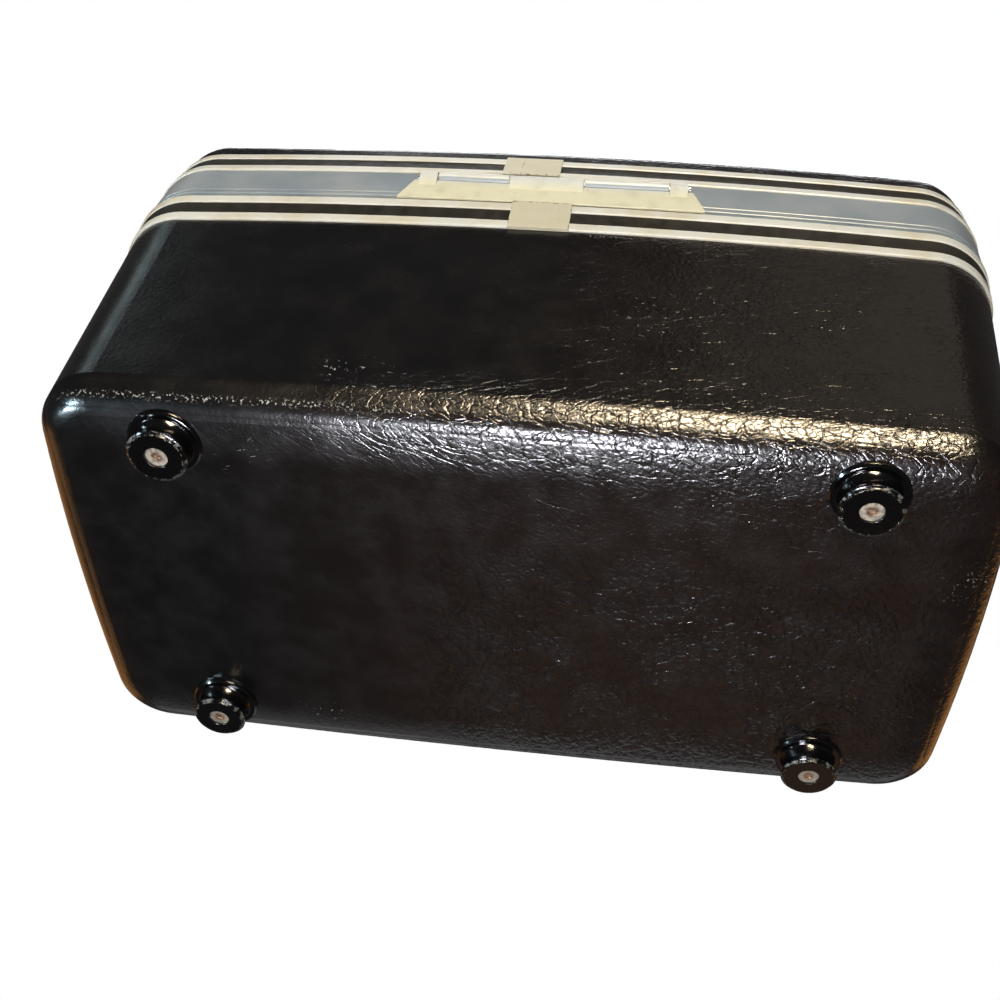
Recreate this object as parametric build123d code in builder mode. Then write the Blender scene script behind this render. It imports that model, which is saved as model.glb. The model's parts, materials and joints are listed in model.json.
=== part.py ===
from build123d import *
from math import cos, radians, sin, sqrt, tan
import os

os.makedirs("parts", exist_ok=True)

# Hard-shell train case: a deep tub on four feet, closed by a shallow hinged lid.
# Millimetres. Z = 0 is the floor under the feet, +Y is the hinge side, -Y the latch side.
# "Right" is +X, as seen by someone facing the latches.

# Case walls. The wall line is the outer face of the shells, measured at the band.
case_length = 355.0
case_width = 193.3
tub_wall_height = 113.0
band_height = 24.65
lid_height = 41.25
draft_angle = 4.3
lid_draft_angle = 2.3
mouth_corner_radius = 28.5
floor_corner_radius = 21.8
end_bow = 3.9
mouth_side_bow = 5.35
floor_side_bow = 2.95
shell_wall = 3.0
floor_edge_radius = 9.5
lid_edge_radius = 16.8

# Clearances
fit_gap = 0.1
lid_gap = 0.35
running_gap = 0.05
moving_gap = 0.25
cut_overrun = 10.0

# Feet and their rivets
foot_height = 9.5
foot_inset_x = 59.5
foot_inset_y = 29.45
foot_tip_radius = 10.6
foot_tip_rounding = 1.0
foot_neck_radius = 9.7
foot_flange_radius = 13.2
foot_flange_thickness = 1.5
foot_rivet_head_radius = 4.0
foot_rivet_radius = 2.0
foot_rivet_wall = 0.6
rivet_clinch_height = 1.5

# Two-bead trims round the tub and the lid
bead_height = 4.9
stripe_height = 8.1
bead_crest = 0.95
bead_chamfer = 0.45
stripe_recess = 0.5
stripe_thickness = 0.8
seat_depth = 1.2
cap_thickness = 1.4
clip_width = 23.9
clip_thickness = 0.45
tub_clip_shift = 2.4
lid_clip_shift = 10.1

# Band frame at the mouth of the tub
band_reach = 0.4
frame_inner_reach = -4.4
spigot_thickness = 1.3
spigot_depth = 12.4
shadow_gap_height = 3.5
shadow_gap_depth = 1.5
lip_height = 2.1
groove_height = 1.2
groove_depth = 0.8
tongue_height = 2.5
tongue_gap = 0.3
tongue_thickness = 1.1

# Lining
lining_thickness = 1.0
lining_side_gap = 0.3
lining_end_gap = 0.6

# Hinge
hinge_foot_length = 123.4
hinge_top_length = 109.4
hinge_drop = 6.75
hinge_reach = 1.45
barrel_radius = 2.3
hinge_pin_radius = 1.0
pin_head_radius = 1.6
pin_head_thickness = 0.8
ear_length = 7.2
hinge_block_length = 30.1
hinge_block_shift = 2.4
knuckle_gap = 0.5
leaf_foot_reach = 1.0
leaf_face_reach = 1.7
leaf_slope_height = 10.5
leaf_lift = 0.7
leaf_thickness = 1.2
leaf_flange_height = 14.0
hinge_rivet_head_radius = 2.6
hinge_rivet_head_height = 0.9
hinge_rivet_radius = 1.2
hinge_rivet_spacing = 25.0

# Latches
latch_offset = 104.0
latch_foot_width = 42.0
latch_top_width = 37.0
latch_front_step = 1.4
latch_corner_radius = 2.0
latch_skin = 0.6
latch_side_wall = 1.0
hasp_width = 18.0
hasp_shift = -8.0
hasp_thickness = 1.5
hasp_axis_rise = 4.6
hasp_overlap = 11.6
hasp_knuckle_radius = 1.45
hasp_pin_radius = 0.7
hasp_ear_width = 1.9
hasp_corner_radius = 3.0
hasp_lip_height = 3.0
lip_chamfer = 0.6
nib_width = 5.0
nib_height = 3.0
nib_rise = 13.6
nib_headroom = 1.0
button_width = 10.0
button_height = 9.0
button_thickness = 1.9
button_corner_radius = 1.5
button_shift = 9.0
button_travel = 3.0
button_stem_width = 4.0
button_stem_height = 3.0
button_grip_count = 3
bolt_height = 1.6
bolt_thickness = 0.7
spring_waves = 4
spring_strip = 0.2
spring_wave_depth = 0.5
keeper_width = 20.0
keeper_corner_radius = 3.0
latch_rivet_spacing = 27.0
latch_rivet_rise = 6.0

# Handle
handle_span = 128.0
handle_reach = 42.0
handle_axis_rise = 8.2
handle_bend_radius = 24.0
grip_half_width = 8.6
grip_half_height = 7.2
grip_corner_radius = 5.5
grip_end_radius = 2.0
grip_start = 12.0
eye_radius = 4.2
eye_width = 5.0
link_insert = 8.0
link_half_height = 2.4
handle_pin_radius = 1.9
bracket_width = 30.0
bracket_depth = 22.4
bracket_corner_radius = 4.0
bracket_base = 2.0
bracket_ear_thickness = 2.2
bracket_ear_radius = 5.0
screw_pitch = 16.2
screw_radius = 1.6
screw_head_radius = 2.7
screw_head_height = 1.3
nut_radius = 3.4
nut_height = 2.4

# Heights and places that follow from the sizes above
foot_spacing_x = case_length - 2 * foot_inset_x
foot_spacing_y = case_width - 2 * foot_inset_y
trim_start = foot_height + tub_wall_height
trim_height = 2 * bead_height + stripe_height
rim_height = trim_start + trim_height
parting_height = rim_height + band_height
case_height = parting_height + lid_height
lid_base = parting_height + lid_gap
hasp_axis_height = rim_height + hasp_axis_rise
hasp_top_height = lid_base + hasp_overlap
nib_center_height = rim_height + nib_rise
lid_trim_top = lid_base + trim_height
lid_rim_height = lid_base + cap_thickness + fit_gap
spigot_bottom = rim_height - spigot_depth
tongue_top = parting_height + tongue_height
half_width = case_width / 2
wall_breaks = [trim_start, rim_height, lid_base, lid_trim_top]


def bow_radius_of(half_chord, bow):
    """Radius of an arc that rises by bow over a chord."""
    return (half_chord**2 + bow**2) / (2 * bow)


side_arc_radius = bow_radius_of(case_length / 2 - end_bow, mouth_side_bow)
floor_side_radius = bow_radius_of(case_length / 2 - end_bow, floor_side_bow)
end_arc_radius = bow_radius_of(case_width / 2 - mouth_side_bow, end_bow)


def wall_reach(height):
    """How far the wall line lies outside its place at the band, at a height."""
    flare = tan(radians(draft_angle))
    if height <= rim_height:
        return (height - rim_height) * flare
    if height <= lid_base:
        return 0.0
    trim_part = min(height, lid_trim_top) - lid_base
    upper_part = max(height - lid_trim_top, 0.0)
    return -trim_part * flare - upper_part * tan(radians(lid_draft_angle))


def side_sag(x):
    """How far the bowed rear or front wall falls back from its middle, at x."""
    return side_arc_radius - sqrt(side_arc_radius**2 - x**2)


def case_outline(height, reach=0.0):
    """Bowed rounded rectangle of the wall line at a height, moved out by reach."""
    share = min(max((height - foot_height) / (trim_start - foot_height), 0.0), 1.0)
    floor_reach = wall_reach(foot_height)
    side_radius = floor_side_radius + share * (side_arc_radius - floor_side_radius)
    base_radius = floor_corner_radius - floor_reach
    corner_radius = base_radius + share * (mouth_corner_radius - base_radius)
    out = wall_reach(height) + reach
    walls = [(half_width, side_radius, 90), (case_length / 2, end_arc_radius, 0)]
    with BuildSketch(Plane.XY.offset(height)) as outline:
        Rectangle(2 * case_length, 2 * case_width)
        for half_span, bow_radius, angle in walls:
            for turned in (0, 180):
                with PolarLocations(bow_radius - half_span, 1, start_angle=angle + turned):
                    Circle(bow_radius + out, mode=Mode.INTERSECT)
        fillet(outline.vertices(), corner_radius + out)
    return outline.sketch.faces()[0]


def wall_solid(bottom, top, reach=0.0):
    """Everything inside the wall line between two heights, moved out by reach."""
    levels = [bottom] + [height for height in wall_breaks if bottom < height < top] + [top]
    with BuildPart() as solid:
        loft(sections=[case_outline(height, reach) for height in levels], ruled=True)
    return solid.part


def rounded_wall_solid(bottom, top, reach, edge_radius, rounded_end):
    """A wall solid with the edge of its bottom (0) or top (-1) face rounded."""
    with BuildPart() as solid:
        add(wall_solid(bottom, top, reach))
        fillet(solid.faces().sort_by(Axis.Z)[rounded_end].edges(), edge_radius)
    return solid.part


def rear_point(reach, height):
    """Place in the YZ plane of a point at a reach from the rear wall line."""
    return (half_width + wall_reach(height) + reach, height)


# Tub shell: moulded shell with a rounded floor edge and a seat for the trim
tub_outside = rounded_wall_solid(foot_height, trim_start, 0.0, floor_edge_radius, 0)
tub_seat = wall_solid(trim_start, rim_height, -seat_depth)
tub_inside = rounded_wall_solid(
    foot_height + shell_wall, rim_height + fit_gap, -shell_wall, floor_edge_radius - shell_wall, 0
)
with BuildPart() as tub_shell:
    add(tub_outside)
    add(tub_seat)
    add(tub_inside, mode=Mode.SUBTRACT)
    with BuildSketch(Plane.XY.offset(foot_height)):
        with GridLocations(foot_spacing_x, foot_spacing_y, 2, 2):
            Circle(foot_rivet_radius + running_gap)
    extrude(amount=shell_wall, mode=Mode.SUBTRACT)
tub_shell.part.label = "tub_shell"
export_step(tub_shell.part, "parts/tub_shell.step")

# Tub lining: thin fabric-covered board inside the shell, up to the frame
lining_floor = foot_height + shell_wall + rivet_clinch_height + lining_end_gap
lining_reach = -(shell_wall + lining_side_gap)
lining_radius = floor_edge_radius - shell_wall - lining_side_gap
tub_lining_outside = rounded_wall_solid(
    lining_floor, spigot_bottom - lining_end_gap, lining_reach, lining_radius, 0
)
tub_lining_inside = rounded_wall_solid(
    lining_floor + lining_thickness,
    rim_height,
    lining_reach - lining_thickness,
    lining_radius - lining_thickness,
    0,
)
with BuildPart() as tub_lining:
    add(tub_lining_outside)
    add(tub_lining_inside, mode=Mode.SUBTRACT)
tub_lining.part.label = "tub_lining"
export_step(tub_lining.part, "parts/tub_lining.step")

# Feet: turned studs with a thin flange, a waisted neck and a recess for the rivet head
foot_top = foot_height - fit_gap
tip_recess_depth = foot_flange_thickness + rivet_clinch_height / 2
corner_names = {
    "rear_right": (1, 1),
    "rear_left": (-1, 1),
    "front_right": (1, -1),
    "front_left": (-1, -1),
}
for corner_name, (side_x, side_y) in corner_names.items():
    foot_x = side_x * foot_spacing_x / 2
    foot_y = side_y * foot_spacing_y / 2
    flange_bottom = foot_top - foot_flange_thickness
    with BuildPart() as foot:
        with BuildSketch(Plane(origin=(foot_x, foot_y, 0), x_dir=(1, 0, 0), z_dir=(0, -1, 0))):
            with BuildLine():
                Polyline(
                    (foot_rivet_radius + running_gap, foot_top),
                    (foot_rivet_radius + running_gap, tip_recess_depth),
                    (foot_rivet_head_radius + fit_gap, tip_recess_depth),
                    (foot_rivet_head_radius + fit_gap, 0),
                    (foot_tip_radius - foot_tip_rounding, 0),
                )
                RadiusArc(
                    (foot_tip_radius - foot_tip_rounding, 0),
                    (foot_tip_radius, foot_tip_rounding),
                    foot_tip_rounding,
                )
                ThreePointArc(
                    (foot_tip_radius, foot_tip_rounding),
                    (foot_neck_radius, (foot_tip_rounding + flange_bottom) / 2),
                    (foot_tip_radius, flange_bottom),
                )
                Polyline(
                    (foot_tip_radius, flange_bottom),
                    (foot_flange_radius - foot_flange_thickness / 2, flange_bottom),
                    (foot_flange_radius, flange_bottom + foot_flange_thickness / 2),
                    (foot_flange_radius, foot_top),
                    (foot_rivet_radius + running_gap, foot_top),
                )
            make_face()
        revolve(axis=Axis((foot_x, foot_y, 0), (0, 0, 1)))
    foot.part.label = "foot_" + corner_name
    export_step(foot.part, "parts/foot_" + corner_name + ".step")

# Foot rivets: tubular rivets, head sunk in the foot and clinched over inside the tub
rivet_head_face = tip_recess_depth - foot_flange_thickness
clinch_base = foot_height + shell_wall
with BuildPart() as foot_rivets:
    with BuildSketch(Plane.XY.offset(rivet_head_face)):
        with GridLocations(foot_spacing_x, foot_spacing_y, 2, 2):
            Circle(foot_rivet_head_radius)
            Circle(foot_rivet_radius - foot_rivet_wall, mode=Mode.SUBTRACT)
    extrude(amount=foot_flange_thickness - running_gap)
    with BuildSketch(Plane.XY.offset(rivet_head_face + foot_flange_thickness / 2)):
        with GridLocations(foot_spacing_x, foot_spacing_y, 2, 2):
            Circle(foot_rivet_radius)
    extrude(amount=clinch_base + rivet_clinch_height / 2 - rivet_head_face - foot_flange_thickness / 2)
    with BuildSketch(Plane.XY.offset(clinch_base + running_gap)):
        with GridLocations(foot_spacing_x, foot_spacing_y, 2, 2):
            Circle(foot_rivet_head_radius)
    extrude(amount=rivet_clinch_height - running_gap)
foot_rivets.part.label = "foot_rivets"
export_step(foot_rivets.part, "parts/foot_rivets.step")

# Frame: extruded band bent round the mouth, with a rolled lip below, a spigot inside the
# shell and a tongue that locates the lid
mouth_path = case_outline(rim_height).outer_wire()
lip_bottom = rim_height + shadow_gap_height
lip_top = lip_bottom + lip_height
groove_top = lip_top + groove_height
spigot_reach = -(shell_wall + fit_gap)
tongue_reach = -(shell_wall + tongue_gap)
edge_break = 0.3
hinge_axis_y = half_width + hinge_reach
hinge_axis_z = parting_height - hinge_drop
leaf_bottom = rim_height + fit_gap + leaf_lift
leaf_top = hinge_axis_z - barrel_radius - moving_gap - fit_gap
pocket_reach = hinge_reach - barrel_radius - moving_gap - fit_gap
hinge_notch_length = hinge_top_length + 4 * moving_gap
hinge_rivet_height = rim_height + leaf_slope_height
latch_rivet_height = nib_center_height + latch_rivet_rise
with BuildPart() as tub_frame:
    with BuildSketch(Plane.YZ):
        with BuildLine():
            Polyline(
                rear_point(spigot_reach, rim_height + fit_gap),
                rear_point(band_reach - shadow_gap_depth, rim_height + fit_gap),
                rear_point(band_reach - shadow_gap_depth, lip_bottom),
                rear_point(band_reach - edge_break, lip_bottom),
                rear_point(band_reach, lip_bottom + edge_break),
                rear_point(band_reach, lip_top - edge_break),
                rear_point(band_reach - edge_break, lip_top),
                rear_point(band_reach - groove_depth, lip_top),
                rear_point(band_reach - groove_depth, groove_top),
                rear_point(band_reach - edge_break, groove_top),
                rear_point(band_reach, groove_top + edge_break),
                rear_point(band_reach, parting_height - edge_break),
                rear_point(band_reach - edge_break, parting_height),
                (half_width + tongue_reach, parting_height),
                (half_width + tongue_reach, tongue_top - edge_break),
                (half_width + tongue_reach - edge_break, tongue_top),
                (half_width + tongue_reach - tongue_thickness, tongue_top),
                (half_width + frame_inner_reach, rim_height),
                rear_point(spigot_reach - spigot_thickness, spigot_bottom),
                rear_point(spigot_reach, spigot_bottom),
                close=True,
            )
        make_face()
    sweep(path=mouth_path)
    # Pocket for the hinge barrel and notch in the tongue for the lid leaf
    with Locations((0, half_width + pocket_reach, leaf_top)):
        Box(
            hinge_notch_length,
            cut_overrun,
            hinge_drop + cut_overrun,
            align=(Align.CENTER, Align.MIN, Align.MIN),
            mode=Mode.SUBTRACT,
        )
    with Locations((0, half_width, parting_height)):
        Box(
            hinge_notch_length,
            2 * cut_overrun,
            cut_overrun,
            align=(Align.CENTER, Align.CENTER, Align.MIN),
            mode=Mode.SUBTRACT,
        )
    # Rivet holes behind the hinge leaf and the latch plates
    with BuildSketch(Plane.XZ.offset(-half_width - cut_overrun)):
        with Locations((0, hinge_rivet_height)):
            with GridLocations(hinge_rivet_spacing, 0, 4, 1):
                Circle(hinge_rivet_radius + running_gap)
    extrude(amount=3 * cut_overrun, mode=Mode.SUBTRACT)
    with BuildSketch(Plane.XZ.offset(half_width + cut_overrun)):
        for side in (1, -1):
            with Locations((side * latch_offset, latch_rivet_height)):
                with GridLocations(latch_rivet_spacing, 0, 2, 1):
                    Circle(hinge_rivet_radius + running_gap)
    extrude(amount=-3 * cut_overrun, mode=Mode.SUBTRACT)
tub_frame.part.label = "tub_frame"
export_step(tub_frame.part, "parts/tub_frame.step")


def trim_profile(bottom, cap):
    """Section of a two-bead trim; with a cap, its foot turns in under the shell edge."""
    back = -(seat_depth - fit_gap)
    groove = bead_crest - stripe_recess - stripe_thickness
    top = bottom + trim_height - (0.0 if cap else fit_gap)
    low_bead_top = bottom + bead_height
    high_bead_bottom = top - bead_height
    with BuildSketch(Plane.YZ) as profile:
        with BuildLine():
            Polyline(
                rear_point(back, bottom),
                rear_point(bead_crest - bead_chamfer, bottom),
                rear_point(bead_crest, bottom + bead_chamfer),
                rear_point(bead_crest, low_bead_top - bead_chamfer),
                rear_point(bead_crest - bead_chamfer, low_bead_top),
                rear_point(groove, low_bead_top),
                rear_point(groove, high_bead_bottom),
                rear_point(bead_crest - bead_chamfer, high_bead_bottom),
                rear_point(bead_crest, high_bead_bottom + bead_chamfer),
                rear_point(bead_crest, top - bead_chamfer),
                rear_point(bead_crest - bead_chamfer, top),
                rear_point(back, top),
                close=True,
            )
        make_face()
        if cap:
            with BuildLine():
                Polyline(
                    (half_width - shell_wall, bottom),
                    (half_width, bottom),
                    (half_width, bottom + cap_thickness),
                    (half_width - shell_wall, bottom + cap_thickness),
                    close=True,
                )
            make_face()
    return profile.sketch


def stripe_profile(bottom, trim_top):
    """Section of the flat insert that lies in the groove between the beads."""
    back = bead_crest - stripe_recess - stripe_thickness + running_gap
    face = bead_crest - stripe_recess
    low = bottom + bead_height + running_gap
    high = trim_top - bead_height - running_gap
    with BuildSketch(Plane.YZ) as profile:
        with BuildLine():
            Polyline(
                rear_point(back, low),
                rear_point(face, low),
                rear_point(face, high),
                rear_point(back, high),
                close=True,
            )
        make_face()
    return profile.sketch


# Tub trim and its dark insert
tub_trim_bottom = trim_start + fit_gap
tub_trim_section = trim_profile(tub_trim_bottom, cap=False)
with BuildPart() as tub_trim:
    sweep(sections=tub_trim_section, path=mouth_path)
tub_trim.part.label = "tub_trim"
export_step(tub_trim.part, "parts/tub_trim.step")

tub_stripe_section = stripe_profile(tub_trim_bottom, tub_trim_bottom + trim_height - fit_gap)
with BuildPart() as tub_trim_stripe:
    sweep(sections=tub_stripe_section, path=mouth_path)
tub_trim_stripe.part.label = "tub_trim_stripe"
export_step(tub_trim_stripe.part, "parts/tub_trim_stripe.step")

# Lid trim and its dark insert; the cap is notched where the hinge leaf passes
lid_leaf_length = hinge_top_length - 2 * ear_length - knuckle_gap
lid_trim_section = trim_profile(lid_base, cap=True)
with BuildPart() as lid_trim:
    sweep(sections=lid_trim_section, path=mouth_path)
    with Locations((0, half_width, lid_base)):
        Box(
            lid_leaf_length + 2 * moving_gap,
            2 * cut_overrun,
            2 * (leaf_thickness + fit_gap),
            mode=Mode.SUBTRACT,
        )
lid_trim.part.label = "lid_trim"
export_step(lid_trim.part, "parts/lid_trim.step")

lid_stripe_section = stripe_profile(lid_base, lid_trim_top)
with BuildPart() as lid_trim_stripe:
    sweep(sections=lid_stripe_section, path=mouth_path)
lid_trim_stripe.part.label = "lid_trim_stripe"
export_step(lid_trim_stripe.part, "parts/lid_trim_stripe.step")


def joint_clip(bottom, top, shift, foot_cover):
    """Sheet clip that covers the joint of a trim at the rear, hooked over its edges."""
    outer_reach = bead_crest + fit_gap + clip_thickness
    foot = clip_thickness if foot_cover else 0.0
    cover = wall_solid(bottom - foot, top + clip_thickness, outer_reach)
    trim_space = wall_solid(bottom, top, bead_crest + fit_gap)
    behind = wall_solid(bottom - cut_overrun, top + cut_overrun, fit_gap)
    with BuildPart() as clip:
        add(cover)
        with Locations((shift, half_width, (bottom + top) / 2)):
            Box(clip_width, 2 * cut_overrun, 2 * trim_height, mode=Mode.INTERSECT)
        add(trim_space, mode=Mode.SUBTRACT)
        add(behind, mode=Mode.SUBTRACT)
    return clip.part


clips = {
    "tub_trim_clip": joint_clip(trim_start, rim_height + fit_gap / 2, tub_clip_shift, True),
    "lid_trim_clip": joint_clip(lid_base + running_gap, lid_trim_top + running_gap, lid_clip_shift, False),
}
for clip_name, clip_solid in clips.items():
    clip_solid.label = clip_name
    export_step(clip_solid, "parts/" + clip_name + ".step")

# Lid shell: shallow moulded shell with a large rounded top edge
lid_outside = rounded_wall_solid(lid_trim_top, case_height, 0.0, lid_edge_radius, -1)
lid_seat = wall_solid(lid_rim_height, lid_trim_top, -seat_depth)
lid_inside = rounded_wall_solid(
    lid_rim_height - fit_gap, case_height - shell_wall, -shell_wall, lid_edge_radius - shell_wall, -1
)
lid_rivet_height = lid_base + trim_height / 2
bracket_places = [(-handle_span / 2, 0), (handle_span / 2, 0)]
with BuildPart() as lid_shell:
    add(lid_outside)
    add(lid_seat)
    add(lid_inside, mode=Mode.SUBTRACT)
    with BuildSketch(Plane.XZ.offset(-half_width - cut_overrun)):
        with Locations((0, lid_rivet_height)):
            with GridLocations(hinge_rivet_spacing, 0, 4, 1):
                Circle(hinge_rivet_radius + running_gap)
    extrude(amount=3 * cut_overrun, mode=Mode.SUBTRACT)
    with BuildSketch(Plane.XY.offset(case_height - shell_wall)):
        with Locations(*bracket_places):
            with GridLocations(0, screw_pitch, 1, 2):
                Circle(screw_radius + running_gap)
    extrude(amount=shell_wall, mode=Mode.SUBTRACT)
lid_shell.part.label = "lid_shell"
export_step(lid_shell.part, "parts/lid_shell.step")

# Lid lining, notched at the rear round the hinge leaf
lid_lining_top = case_height - shell_wall - nut_height - lining_end_gap
lid_lining_radius = lid_edge_radius - shell_wall - nut_height - lining_end_gap
lid_lining_outside = rounded_wall_solid(
    tongue_top + lining_end_gap, lid_lining_top, lining_reach, lid_lining_radius, -1
)
lid_lining_inside = rounded_wall_solid(
    lid_base,
    lid_lining_top - lining_thickness,
    lining_reach - lining_thickness,
    lid_lining_radius - lining_thickness,
    -1,
)
with BuildPart() as lid_lining:
    add(lid_lining_outside)
    add(lid_lining_inside, mode=Mode.SUBTRACT)
    with Locations((0, half_width, lid_base)):
        Box(
            lid_leaf_length + 2 * lining_end_gap,
            3 * cut_overrun,
            2 * (leaf_flange_height + lining_end_gap),
            mode=Mode.SUBTRACT,
        )
lid_lining.part.label = "lid_lining"
export_step(lid_lining.part, "parts/lid_lining.step")

# Hinge stations along X: ear, lid knuckle, centre block, lid knuckle, ear
half_top = hinge_top_length / 2
block_right = hinge_block_shift + hinge_block_length / 2
block_left = hinge_block_shift - hinge_block_length / 2
tub_knuckles = [
    (half_top - ear_length, half_top),
    (block_left, block_right),
    (-half_top, -half_top + ear_length),
]
lid_knuckles = [
    (block_right + knuckle_gap, half_top - ear_length - knuckle_gap),
    (-half_top + ear_length + knuckle_gap, block_left - knuckle_gap),
]
leaf_slope_top = rim_height + leaf_slope_height
leaf_back = wall_solid(rim_height - cut_overrun, parting_height + cut_overrun, band_reach + fit_gap)

# Tub leaf: cast trapezoid on the band, with two ears and a centre block round the pin
with BuildPart() as hinge_tub_leaf:
    with BuildSketch(Plane.YZ):
        with BuildLine():
            Polyline(
                (half_width - cut_overrun / 2, leaf_bottom),
                (half_width + leaf_foot_reach, leaf_bottom),
                (half_width + leaf_face_reach, leaf_slope_top),
                (half_width + leaf_face_reach, leaf_top - edge_break),
                (half_width + leaf_face_reach - edge_break, leaf_top),
                (half_width - cut_overrun / 2, leaf_top),
                close=True,
            )
        make_face()
    extrude(amount=hinge_foot_length, both=True)
    # Gussets that carry the knuckles down into the leaf
    for low_x, high_x in tub_knuckles:
        with BuildSketch(Plane.YZ.offset(low_x)):
            with BuildLine():
                Polyline(
                    (half_width, leaf_slope_top),
                    (half_width + leaf_face_reach, leaf_slope_top),
                    (hinge_axis_y + barrel_radius, hinge_axis_z - barrel_radius / 2),
                    (hinge_axis_y + barrel_radius, hinge_axis_z),
                    (half_width, hinge_axis_z),
                    close=True,
                )
            make_face()
        extrude(amount=high_x - low_x)
    add(leaf_back, mode=Mode.SUBTRACT)
    for low_x, high_x in tub_knuckles:
        with BuildSketch(Plane.YZ.offset(low_x)):
            with Locations((hinge_axis_y, hinge_axis_z)):
                Circle(barrel_radius)
        extrude(amount=high_x - low_x)
    # Slanted ends of the trapezoid
    with BuildSketch(Plane.XZ):
        with BuildLine():
            Polyline(
                (-hinge_foot_length / 2, leaf_bottom),
                (hinge_foot_length / 2, leaf_bottom),
                (half_top, hinge_axis_z + barrel_radius),
                (-half_top, hinge_axis_z + barrel_radius),
                close=True,
            )
        make_face()
    extrude(amount=-2 * half_width, mode=Mode.INTERSECT)
    with BuildSketch(Plane.YZ.offset(-half_top)):
        with Locations((hinge_axis_y, hinge_axis_z)):
            Circle(hinge_pin_radius + running_gap)
    extrude(amount=hinge_top_length, mode=Mode.SUBTRACT)
hinge_tub_leaf.part.label = "hinge_tub_leaf"
export_step(hinge_tub_leaf.part, "parts/hinge_tub_leaf.step")

# Lid leaf: knuckles, a web up through the pocket, a plate over the rim and a flange that
# is riveted inside the lid wall
flange_top = lid_base + leaf_flange_height
flange_reach = -(shell_wall + fit_gap)
flange_face_reach = flange_reach - leaf_thickness - side_sag(lid_leaf_length / 2)
flange_limit = wall_solid(lid_base - fit_gap, flange_top + fit_gap, flange_reach)
web_inner_y = half_width + pocket_reach + moving_gap
with BuildPart() as hinge_lid_leaf:
    with BuildSketch(Plane.YZ.offset(-lid_leaf_length / 2)):
        with BuildLine():
            Polyline(
                rear_point(flange_face_reach, lid_base),
                rear_point(0, lid_base),
                rear_point(0, flange_top),
                rear_point(flange_face_reach, flange_top),
                close=True,
            )
        make_face()
    extrude(amount=lid_leaf_length)
    add(flange_limit, mode=Mode.INTERSECT)
    with BuildSketch(Plane.YZ.offset(-lid_leaf_length / 2)):
        with BuildLine():
            Polyline(
                (half_width + flange_face_reach, lid_base),
                (web_inner_y + leaf_thickness, lid_base),
                (web_inner_y + leaf_thickness, lid_base + leaf_thickness),
                (half_width + flange_face_reach, lid_base + leaf_thickness),
                close=True,
            )
        make_face()
    extrude(amount=lid_leaf_length)
    for low_x, high_x in lid_knuckles:
        with BuildSketch(Plane.YZ.offset(low_x)):
            with Locations((hinge_axis_y, hinge_axis_z)):
                Circle(barrel_radius)
            with Locations((web_inner_y, hinge_axis_z)):
                Rectangle(
                    leaf_thickness,
                    lid_base + leaf_thickness - hinge_axis_z,
                    align=(Align.MIN, Align.MIN),
                )
        extrude(amount=high_x - low_x)
    with BuildSketch(Plane.YZ.offset(-half_top)):
        with Locations((hinge_axis_y, hinge_axis_z)):
            Circle(hinge_pin_radius + running_gap)
    extrude(amount=hinge_top_length, mode=Mode.SUBTRACT)
    with BuildSketch(Plane.XZ.offset(-half_width)):
        with Locations((0, lid_rivet_height)):
            with GridLocations(hinge_rivet_spacing, 0, 4, 1):
                Circle(hinge_rivet_radius + running_gap)
    extrude(amount=3 * cut_overrun, mode=Mode.SUBTRACT)
hinge_lid_leaf.part.label = "hinge_lid_leaf"
export_step(hinge_lid_leaf.part, "parts/hinge_lid_leaf.step")

# Hinge pin with a flat head at each end
with BuildPart() as hinge_pin:
    with BuildSketch(Plane.YZ.offset(-half_top - moving_gap)):
        with Locations((hinge_axis_y, hinge_axis_z)):
            Circle(hinge_pin_radius)
    extrude(amount=hinge_top_length + 2 * moving_gap)
    for head_x in (-half_top - moving_gap - pin_head_thickness, half_top + moving_gap):
        with BuildSketch(Plane.YZ.offset(head_x)):
            with Locations((hinge_axis_y, hinge_axis_z)):
                Circle(pin_head_radius)
        extrude(amount=pin_head_thickness)
hinge_pin.part.label = "hinge_pin"
export_step(hinge_pin.part, "parts/hinge_pin.step")


def rivet_row(face_y, shank_end_y, height, centers):
    """Rivets along Y with their heads on the inside of a wall, at the given X places."""
    inward = -1 if shank_end_y > face_y else 1
    with BuildPart() as rivets:
        for center_x in centers:
            with BuildSketch(Plane.XZ.offset(-face_y)):
                with Locations((center_x, height)):
                    Circle(hinge_rivet_head_radius)
            extrude(amount=-inward * hinge_rivet_head_height)
            with BuildSketch(Plane.XZ.offset(-face_y)):
                with Locations((center_x, height)):
                    Circle(hinge_rivet_radius)
            extrude(amount=inward * abs(shank_end_y - face_y))
    return rivets.part


hinge_rivet_places = [(index - 1.5) * hinge_rivet_spacing for index in range(4)]
rivet_sag = side_sag(hinge_rivet_places[-1] + hinge_rivet_head_radius)
frame_face_y = half_width + frame_inner_reach - rivet_sag - running_gap
band_shank_y = half_width + band_reach - rivet_sag
hinge_tub_rivets = rivet_row(frame_face_y, band_shank_y, hinge_rivet_height, hinge_rivet_places)
hinge_tub_rivets.label = "hinge_tub_rivets"
export_step(hinge_tub_rivets, "parts/hinge_tub_rivets.step")

flange_face_y = rear_point(flange_face_reach, lid_rivet_height + hinge_rivet_head_radius)[0] - running_gap
lid_shank_y = rear_point(-seat_depth, lid_rivet_height)[0] - rivet_sag
hinge_lid_rivets = rivet_row(flange_face_y, lid_shank_y, lid_rivet_height, hinge_rivet_places)
hinge_lid_rivets.label = "hinge_lid_rivets"
export_step(hinge_lid_rivets, "parts/hinge_lid_rivets.step")

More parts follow.
